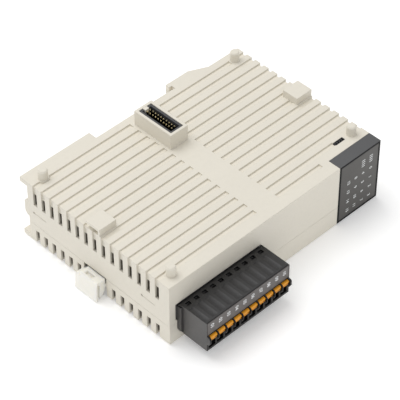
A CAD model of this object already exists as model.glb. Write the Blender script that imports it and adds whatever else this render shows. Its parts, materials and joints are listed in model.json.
"""Looks of a slim controller expansion module that lies on its side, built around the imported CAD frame."""

import json
import math

import bpy
from mathutils import Matrix, Vector

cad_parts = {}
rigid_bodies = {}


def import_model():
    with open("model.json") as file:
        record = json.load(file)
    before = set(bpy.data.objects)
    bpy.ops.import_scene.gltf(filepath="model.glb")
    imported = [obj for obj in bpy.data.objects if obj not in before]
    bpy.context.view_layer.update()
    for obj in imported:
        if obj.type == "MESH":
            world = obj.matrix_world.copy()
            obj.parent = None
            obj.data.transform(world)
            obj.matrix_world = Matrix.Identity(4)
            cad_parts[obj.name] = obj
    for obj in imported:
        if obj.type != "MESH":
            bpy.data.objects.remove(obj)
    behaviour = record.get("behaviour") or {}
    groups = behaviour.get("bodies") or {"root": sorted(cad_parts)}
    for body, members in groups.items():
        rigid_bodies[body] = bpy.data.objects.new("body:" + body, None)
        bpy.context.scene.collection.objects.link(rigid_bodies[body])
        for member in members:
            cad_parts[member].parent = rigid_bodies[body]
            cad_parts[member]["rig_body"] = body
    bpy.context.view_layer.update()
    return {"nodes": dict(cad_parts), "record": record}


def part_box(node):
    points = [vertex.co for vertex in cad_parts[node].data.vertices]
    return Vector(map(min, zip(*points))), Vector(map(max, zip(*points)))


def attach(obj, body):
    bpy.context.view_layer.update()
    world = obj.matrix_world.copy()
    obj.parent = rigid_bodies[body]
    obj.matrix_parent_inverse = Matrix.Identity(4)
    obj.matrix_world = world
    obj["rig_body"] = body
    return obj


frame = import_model()

MM = 0.001
nodes = frame["nodes"]
node_body = {n: o["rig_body"] for n, o in nodes.items()}
scene = bpy.context.scene


# ---- camera ----

CAMERA_AZIMUTH = -44.182
CAMERA_ELEVATION = 43.989
CAMERA_ROLL = -0.161
CAMERA_DISTANCE = 627.385 * MM
CAMERA_LENS = 173.93
CAMERA_TARGET = Vector((-4.962, 2.518, 12.5)) * MM


def make_camera():
    """A long lens on the target, placed by angles around it and rolled a little."""
    az, el, roll = (math.radians(a) for a in (CAMERA_AZIMUTH, CAMERA_ELEVATION, CAMERA_ROLL))
    back = Vector((math.sin(az) * math.cos(el), -math.cos(az) * math.cos(el), math.sin(el)))
    right = Vector((math.cos(az), math.sin(az), 0))
    up = back.cross(right)
    turned_right = right * math.cos(roll) + up * math.sin(roll)
    turned_up = up * math.cos(roll) - right * math.sin(roll)
    camera = bpy.data.objects.new("camera", bpy.data.cameras.new("camera"))
    scene.collection.objects.link(camera)
    camera.data.lens = CAMERA_LENS
    camera.data.sensor_width = 36
    place = CAMERA_TARGET + back * CAMERA_DISTANCE
    turn = Matrix((turned_right, turned_up, back)).transposed().to_4x4()
    camera.matrix_world = Matrix.Translation(place) @ turn
    camera.data.clip_start = 0.01
    scene.camera = camera


# ---- materials ----

class Paint:
    """A material with its Principled shader and short helpers to add nodes."""

    def __init__(self, name, color, roughness, **sockets):
        self.material = bpy.data.materials.new(name)
        self.material.use_nodes = True
        self.tree = self.material.node_tree
        self.shader = self.tree.nodes["Principled BSDF"]
        self.shader.inputs["Base Color"].default_value = (*color, 1)
        self.shader.inputs["Roughness"].default_value = roughness
        for socket, value in sockets.items():
            self.shader.inputs[socket.replace("_", " ")].default_value = value
        self.coords = self.tree.nodes.new("ShaderNodeTexCoord").outputs["Object"]
        self.normal = None

    def node(self, kind, **values):
        made = self.tree.nodes.new("ShaderNode" + kind)
        for key, value in values.items():
            if key in made.inputs:
                made.inputs[key].default_value = value
            else:
                setattr(made, key, value)
        return made

    def link(self, source, target):
        self.tree.links.new(source, target)

    def noise(self, scale, detail=3.0, rough=0.55, stretch=None):
        """Noise over the part at rest, drawn out along an axis where stretch says so."""
        made = self.node("TexNoise", Scale=scale, Detail=detail, Roughness=rough)
        if stretch:
            mapping = self.node("Mapping")
            mapping.inputs["Scale"].default_value = stretch
            self.link(self.coords, mapping.inputs["Vector"])
            self.link(mapping.outputs[0], made.inputs["Vector"])
        else:
            self.link(self.coords, made.inputs["Vector"])
        return made.outputs["Fac"]

    def between(self, factor, low, high, start=0.3, end=0.7):
        """Low where the factor is at its start value, high where it is at its end value."""
        made = self.node("MapRange", clamp=True)
        for key, value in zip(("From Min", "From Max", "To Min", "To Max"), (start, end, low, high)):
            made.inputs[key].default_value = value
        self.link(factor, made.inputs["Value"])
        return made.outputs["Result"]

    def mix(self, factor, first, second):
        """The first colour where the factor is 0, the second where it is 1."""
        made = self.node("Mix", data_type="RGBA")
        for socket, value in (("A", first), ("B", second)):
            target = [i for i in made.inputs if i.name == socket and i.type == "RGBA"][0]
            if isinstance(value, tuple):
                target.default_value = (*value, 1)
            else:
                self.link(value, target)
        factor_in = [i for i in made.inputs if i.name == "Factor" and i.type == "VALUE"][0]
        self.link(factor, factor_in)
        return [o for o in made.outputs if o.type == "RGBA"][0]

    def part_of(self, vector, axis):
        """One coordinate of a vector."""
        split = self.node("SeparateXYZ")
        self.link(vector, split.inputs[0])
        return split.outputs[axis]

    def both(self, first, second):
        """The product of two factors."""
        made = self.node("Math", operation="MULTIPLY")
        self.link(first, made.inputs[0])
        self.link(second, made.inputs[1])
        return made.outputs[0]

    def edges(self, radius):
        """How near a point is to a sharp edge: 1 at the edge, 0 on a flat."""
        bevel = self.node("Bevel", samples=4, Radius=radius)
        plain = self.node("NewGeometry")
        dot = self.node("VectorMath", operation="DOT_PRODUCT")
        self.link(bevel.outputs[0], dot.inputs[0])
        self.link(plain.outputs["Normal"], dot.inputs[1])
        return self.between(dot.outputs["Value"], 1.0, 0.0, 0.75, 0.995)

    def upward(self):
        """1 where a face looks up, 0 on walls."""
        rise = self.part_of(self.node("NewGeometry").outputs["Normal"], "Z")
        return self.between(rise, 0.0, 1.0, 0.5, 0.8)

    def forward(self):
        """1 where a face looks to the module's front, 0 elsewhere."""
        facing = self.part_of(self.node("NewGeometry").outputs["Normal"], "Y")
        return self.between(facing, 1.0, 0.0, -0.8, -0.5)

    def above(self, height, soft):
        """1 above a height of the part at rest, 0 below it."""
        return self.between(self.part_of(self.coords, "Z"), 0.0, 1.0, height - soft, height + soft)

    def deep_in(self, low, high, soft):
        """1 well inside a box of the part at rest, 0 outside it."""
        factor = None
        for axis, start, end in zip("XYZ", low, high):
            place = self.part_of(self.coords, axis)
            for outer, inner in ((start, start + soft), (end, end - soft)):
                step = self.between(place, 0.0, 1.0, outer, inner)
                factor = step if factor is None else self.both(factor, step)
        return factor

    def soften(self, radius):
        """Shades sharp edges as if they were rounded."""
        bevel = self.node("Bevel", samples=6, Radius=radius)
        self.normal = bevel.outputs[0]

    def bump(self, height, strength, distance):
        made = self.node("Bump", Strength=strength, Distance=distance)
        self.link(height, made.inputs["Height"])
        if self.normal is not None:
            self.link(self.normal, made.inputs["Normal"])
        self.normal = made.outputs["Normal"]
        self.link(self.normal, self.shader.inputs["Normal"])

    def tint(self, color):
        self.link(color, self.shader.inputs["Base Color"])

    def rough(self, factor):
        self.link(factor, self.shader.inputs["Roughness"])


GROOVE_COLOR = (0.84, 0.785, 0.675)
INSIDE_COLOR = (0.13, 0.11, 0.085)
DEEP_COLOR = (0.006, 0.006, 0.007)
PLUG_TOP_COLOR = (0.021, 0.0205, 0.021)
PLUG_FRONT_COLOR = (0.018, 0.017, 0.017)
WINDOW_FRONT_COLOR = (0.008, 0.008, 0.009)


def shade(color, factor):
    return tuple(min(1.0, c * factor) for c in color)


def moulded(name, color, roughness=0.5, grain=2600, depth=0.35, wear=1.12, cloud=0.96, soft=0.25):
    """Injection-moulded plastic: spark-eroded grain, faint flow clouds, and edges polished by handling."""
    paint = Paint(name, color, roughness)
    clouds = paint.noise(45, 4)
    fine = paint.noise(900, 2)
    base = paint.mix(paint.between(clouds, 0, 1), shade(color, cloud), shade(color, 2 - cloud))
    specked = paint.mix(paint.between(fine, 0, 0.35, 0.45, 0.75), base, shade(color, 0.93))
    paint.look = paint.mix(paint.edges(0.35 * MM), specked, shade(color, wear))
    paint.tint(paint.look)
    paint.rough(paint.between(clouds, roughness - 0.05, roughness + 0.06))
    paint.soften(soft * MM)
    paint.bump(paint.noise(grain, 3, 0.6), depth, 0.03 * MM)
    return paint


def case_plastic():
    """The case, darker inside, with light grooves between its ribs."""
    paint = moulded("case_plastic", (0.735, 0.695, 0.605), 0.5, grain=2400, depth=0.3, wear=1.08,
                    cloud=0.985)
    low = Vector(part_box("case_cover")[0])
    high = Vector(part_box("case_body")[1])
    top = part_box("window_bezel")[1][2]
    skin = 1.6 * MM
    lip = 0.5 * MM
    deepest_groove = top - 1.4 * MM
    inside = paint.deep_in((low.x + lip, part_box("window_bezel")[0][1] + skin, low.z + lip),
                           (high.x - lip, high.y - 3 * skin, top - skin), 0.5 * MM)
    grooves = paint.deep_in((low.x + lip, low.y + lip, deepest_groove),
                            (high.x - lip, high.y - lip, top - lip), 0.12 * MM)
    paint.tint(paint.mix(inside, paint.mix(grooves, paint.look, GROOVE_COLOR), INSIDE_COLOR))
    return paint


def terminal_plastic(name):
    """The dark plastic that the terminal header and its plug share."""
    return moulded(name, (0.068, 0.065, 0.063), 0.4, grain=2000, depth=0.45, wear=1.5, cloud=0.92)


def dark_plastic():
    """The terminal header, nearly black where it looks up."""
    paint = terminal_plastic("dark_plastic")
    paint.tint(paint.mix(paint.upward(), paint.look, DEEP_COLOR))
    return paint


def plug_plastic():
    """As the header's plastic, darker at the front and nearly black in its rooms and between the levers."""
    paint = terminal_plastic("plug_plastic")
    low, high = (Vector(c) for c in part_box("plug_body"))
    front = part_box("marker_strip")[0][1]
    lever = Vector(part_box("lever_01")[0])
    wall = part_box("case_cover")[0][1]
    edge = 0.6 * MM
    soft = 0.15 * MM
    rooms = paint.deep_in((low.x + edge, front + 0.1 * MM, low.z + edge),
                          (high.x - edge, high.y, high.z - 0.3 * MM), soft)
    slots = paint.deep_in((low.x + edge, low.y - edge, lever.z), (high.x - edge, front + edge, high.z), soft)
    pits = paint.deep_in((low.x + edge, wall - 2.7 * MM, high.z - MM),
                         (high.x, wall - MM, high.z - 0.04 * MM), 0.03 * MM)
    front_faces = paint.forward()
    faces = paint.mix(front_faces, paint.mix(paint.upward(), paint.look, PLUG_TOP_COLOR), PLUG_FRONT_COLOR)
    paint.link(paint.between(front_faces, 0.5, 0.2, 0, 1), paint.shader.inputs["Specular IOR Level"])
    for hollow in (rooms, pits, slots):
        faces = paint.mix(hollow, faces, DEEP_COLOR)
    paint.tint(faces)
    return paint


def header_plastic():
    """The bus connector's body: grey near its rim, black between the pins."""
    paint = moulded("header_plastic", (0.062, 0.062, 0.066), 0.45, grain=2200, depth=0.35, wear=1.5,
                    cloud=0.9)
    rim = paint.above(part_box("bus_header")[1][2] - 2.4 * MM, 1.1 * MM)
    paint.tint(paint.mix(rim, DEEP_COLOR, paint.look))
    return paint


def black_plastic():
    return moulded("black_plastic", (0.020, 0.020, 0.021), 0.45, grain=2200, depth=0.35, wear=1.8, cloud=0.9)


def window_frame_plastic():
    """The window frame, nearly black on the narrow faces around the lens."""
    paint = moulded("window_frame_plastic", (0.084, 0.085, 0.088), 0.42, grain=3000, depth=0.2, wear=1.2,
                    cloud=0.94)
    front = paint.forward()
    paint.tint(paint.mix(front, paint.look, WINDOW_FRONT_COLOR))
    paint.link(paint.between(front, 0.5, 0.08, 0, 1), paint.shader.inputs["Specular IOR Level"])
    return paint


def lens_plastic():
    return moulded("lens_plastic", (0.061, 0.0575, 0.052), 0.42, grain=3200, depth=0.25, wear=1.05,
                   cloud=0.95)


def latch_plastic():
    """White plastic that lets a little light through."""
    paint = moulded("latch_plastic", (0.86, 0.84, 0.775), 0.34, grain=1600, depth=0.15, wear=1.03,
                    cloud=0.99, soft=0.5)
    paint.shader.inputs["Subsurface Weight"].default_value = 0.6
    paint.shader.inputs["Subsurface Radius"].default_value = (1.0, 0.95, 0.8)
    paint.shader.inputs["Subsurface Scale"].default_value = 2.5 * MM
    return paint


def lever_plastic():
    paint = moulded("lever_plastic", (0.79, 0.33, 0.014), 0.42, grain=2000, depth=0.2, wear=1.1, cloud=0.95,
                    soft=0.08)
    paint.shader.inputs["Specular IOR Level"].default_value = 0.35
    return paint


def pin_gold():
    """Gold plating on the pin tips only, over a darker underlayer."""
    paint = metal("pin_gold", (0.95, 0.78, 0.42), 0.25)
    tip = paint.above(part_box("bus_header_pins")[1][2] - 0.42 * MM, 0.06 * MM)
    paint.tint(paint.mix(tip, (0.10, 0.08, 0.05), (1.0, 0.86, 0.52)))
    return paint


def metal(name, color, roughness):
    """Plated metal with faint drawing marks."""
    paint = Paint(name, color, roughness, Metallic=1.0)
    marks = paint.noise(1800, 4, 0.6, (1, 1, 0.08))
    paint.tint(paint.mix(paint.between(marks, 0, 1), shade(color, 0.85), shade(color, 1.08)))
    paint.rough(paint.between(marks, roughness - 0.06, roughness + 0.1))
    paint.bump(marks, 0.15, 0.02 * MM)
    return paint


def board_mask():
    """Solder mask with tracks showing through."""
    green = (0.012, 0.12, 0.05)
    paint = Paint("board_mask", green, 0.3)
    tracks = paint.node("TexBrick", Scale=260.0)
    tracks.inputs["Mortar Size"].default_value = 0.09
    paint.link(paint.coords, tracks.inputs["Vector"])
    fine = paint.noise(300, 3)
    base = paint.mix(paint.between(fine, 0, 1), shade(green, 0.8), shade(green, 1.15))
    paint.tint(paint.mix(tracks.outputs["Fac"], base, (0.03, 0.22, 0.09)))
    paint.bump(tracks.outputs["Fac"], 0.3, 0.04 * MM)
    return paint


def clear_plastic():
    paint = Paint("clear_plastic", (0.93, 0.95, 0.95), 0.12, Transmission_Weight=0.8, IOR=1.49)
    paint.bump(paint.noise(500, 2), 0.08, 0.05 * MM)
    return paint


def lamp_plastic():
    paint = Paint("lamp_plastic", (0.3, 0.6, 0.25), 0.25, Transmission_Weight=0.3)
    paint.tint(paint.mix(paint.between(paint.noise(900, 2), 0, 1), (0.26, 0.55, 0.22), (0.34, 0.66, 0.3)))
    return paint


def ceramic():
    paint = Paint("ceramic", (0.42, 0.33, 0.22), 0.45)
    paint.tint(paint.mix(paint.between(paint.noise(1400, 3), 0, 1), (0.36, 0.28, 0.18), (0.48, 0.38, 0.26)))
    return paint


def ink():
    """Printed white marks, slightly uneven."""
    paint = Paint("ink", (0.78, 0.80, 0.80), 0.5)
    paint.tint(paint.mix(paint.between(paint.noise(2500, 2), 0, 1), (0.66, 0.68, 0.69), (0.86, 0.87, 0.87)))
    return paint


# nodes whose look differs from that of their material slot
OWN_PAINT = {"bus_header": "header", "bus_header_pins": "pins", "plug_body": "plug",
             "service_contacts": "dull_tin"}


def finish_nodes():
    """Gives every CAD node its finished material."""
    slot_paint = {
        "case": case_plastic(), "window_frame": window_frame_plastic(), "window_tint": lens_plastic(),
        "clear_plastic": clear_plastic(), "led": lamp_plastic(), "board": board_mask(),
        "black_plastic": black_plastic(), "steel": metal("steel", (0.62, 0.62, 0.64), 0.3),
        "gold": metal("gold", (0.88, 0.66, 0.26), 0.22), "pins": pin_gold(),
        "tin": metal("tin", (0.7, 0.7, 0.71), 0.34),
        "dark_plastic": dark_plastic(), "plug": plug_plastic(), "header": header_plastic(),
        "dull_tin": metal("dull_tin", (0.2, 0.2, 0.21), 0.5),
        "marker": moulded("marker", (0.115, 0.105, 0.10), 0.45, grain=3000, depth=0.2, wear=1.1, cloud=0.93),
        "latch": latch_plastic(),
        "chip": moulded("chip", (0.02, 0.02, 0.022), 0.5, wear=1.5),
        "white_chip": moulded("white_chip", (0.75, 0.75, 0.73), 0.45),
        "capacitor": metal("capacitor", (0.62, 0.64, 0.68), 0.25),
        "ferrite": moulded("ferrite", (0.06, 0.06, 0.065), 0.6, wear=1.4),
        "ceramic": ceramic(), "lever": lever_plastic()}
    for part in frame["record"]["subparts"]:
        obj = nodes[part["node"]]
        key = OWN_PAINT.get(part["node"], part["material_slot"])
        obj.data.materials.clear()
        obj.data.materials.append(slot_paint[key].material)


# ---- printed numbers ----

MARK_THICK = 0.012 * MM
# lamp columns measured from the lens's edge at +X, and lamp rows from its top
LAMP_COLUMNS = [d * MM for d in (3.25, 6.9, 10.4, 13.8)]
LAMP_ROWS = [(8.6 + 4.1 * row) * MM for row in range(4)]
STATE_ROW = 4.3 * MM
POLES = 10
# turns a word so that it reads downwards and looks to the front
READING = Matrix(((0, 1, 0), (0, 0, -1), (-1, 0, 0))).to_4x4()


def printed(name, words, place, size, node, paint, spacing=1.0, bold=0.03 * MM):
    """A printed word that reads downwards and looks to the front."""
    curve = bpy.data.curves.new(name, "FONT")
    curve.body = words
    curve.size = size
    curve.space_character = spacing
    curve.extrude = MARK_THICK / 2
    curve.offset = bold
    curve.align_x = "CENTER"
    curve.align_y = "CENTER"
    curve.materials.append(paint.material)
    piece = bpy.data.objects.new(name, curve)
    piece.matrix_world = Matrix.Translation(place) @ READING
    scene.collection.objects.link(piece)
    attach(piece, node_body[node])


def number_window(paint):
    """Channel numbers 0 to 15 beside the lamps, and two rows of dashes for the state lamps."""
    low, high = (Vector(c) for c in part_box("window_lens"))
    front = low.y - MARK_THICK
    for column, across in enumerate(LAMP_COLUMNS):
        for row, down in enumerate(LAMP_ROWS):
            number = len(LAMP_ROWS) * column + row
            printed(f"channel_mark_{number:02d}", str(number), (high.x - across, front, high.z - down),
                    1.75 * MM, "window_lens", paint)
    for column, across in enumerate(LAMP_COLUMNS[:2]):
        printed(f"state_mark_{column + 1}", "||||", (high.x - across, front, high.z - STATE_ROW),
                1.5 * MM, "window_lens", paint, 1.6, 0.09 * MM)


def number_strip(paint):
    """Numbers 1 to 10 on the marker strip above the levers."""
    low, high = (Vector(c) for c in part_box("marker_strip"))
    for i in range(POLES):
        lever_low, lever_high = (Vector(c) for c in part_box(f"lever_{i + 1:02d}"))
        x = (lever_low.x + lever_high.x) / 2
        printed(f"pole_mark_{i + 1:02d}", f"{i + 1:02d}", (x, low.y - MARK_THICK, high.z - 2 * MM),
                1.9 * MM, "marker_strip", paint)


# ---- stage ----

def make_stage():
    """A pale floor just under the part, lit a little from itself."""
    floor_paint = Paint("floor", (0.95, 0.95, 0.95), 0.9)
    clouds = floor_paint.between(floor_paint.noise(6, 2), 0, 1)
    floor_paint.shader.inputs["Emission Color"].default_value = (1, 1, 1, 1)
    floor_paint.shader.inputs["Emission Strength"].default_value = 0.20
    floor_paint.tint(floor_paint.mix(clouds, (0.94, 0.94, 0.94), (0.96, 0.96, 0.96)))
    bpy.ops.mesh.primitive_plane_add(size=6, location=(0, 0, -0.4 * MM))
    floor = bpy.context.object
    floor.name = "floor"
    floor.data.materials.append(floor_paint.material)


def area_light(name, place, target, size, power):
    data = bpy.data.lights.new(name, "AREA")
    data.shape = "DISK"
    data.size = size
    data.energy = power
    light = bpy.data.objects.new(name, data)
    light.location = place
    direction = Vector(target) - Vector(place)
    light.rotation_euler = direction.to_track_quat("-Z", "Y").to_euler()
    scene.collection.objects.link(light)


def make_lights():
    """A soft studio: even light all round, a wide key lamp behind the part and a weak fill in front."""
    world = bpy.data.worlds.new("studio")
    world.use_nodes = True
    background = world.node_tree.nodes["Background"]
    background.inputs["Color"].default_value = (1, 1, 1, 1)
    background.inputs["Strength"].default_value = 0.66
    scene.world = world
    area_light("key", (-0.1, 0.35, 0.9), (0, 0, 0), 0.8, 4.45)
    area_light("fill", (-0.2, -0.9, 0.45), (0, 0, 0.01), 0.5, 0.35)
    scene.view_settings.view_transform = "Standard"


make_camera()
finish_nodes()
white_ink = ink()
number_window(white_ink)
number_strip(white_ink)
make_stage()
make_lights()
